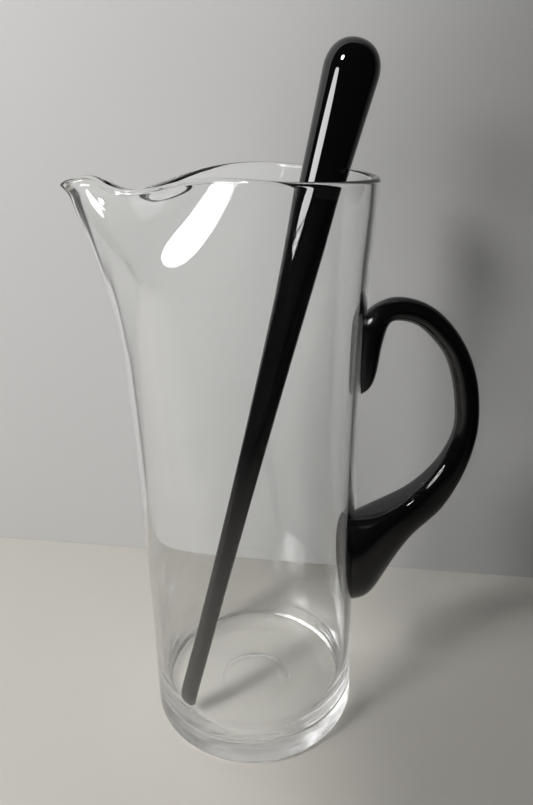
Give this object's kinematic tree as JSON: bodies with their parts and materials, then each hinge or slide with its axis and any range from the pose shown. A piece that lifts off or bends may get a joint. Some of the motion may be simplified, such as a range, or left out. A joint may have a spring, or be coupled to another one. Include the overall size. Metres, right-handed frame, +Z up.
{
  "type": "cocktail pitcher",
  "caption": "Tall clear glass cocktail pitcher with a pinched pouring lip, an applied black glass loop handle and a loose black glass stirring rod.",
  "frame": {"origin": "centre of the foot, on the surface the pitcher stands on", "axes": "+Z up along the body, +X through the handle, -X through the pouring lip, +Y to the side"},
  "size_m": [0.1724, 0.1038, 0.3063],
  "materials": {
    "clear_glass": "clear, fire polished",
    "black_glass": "opaque black, fire polished",
    "black_rod_glass": "opaque black, fire polished"
  },
  "bodies": {
    "pitcher": {"glass_body": "clear_glass", "handle": "black_glass"},
    "stirrer_rod": {"stirrer": "black_rod_glass"}
  },
  "joints": [
    {"name": "stirrer_lift", "type": "slide", "parent": "pitcher", "child": "stirrer_rod", "axis": [0.2691, 0.1617, 0.9494], "range_m": [0, 0.27]}
  ]
}
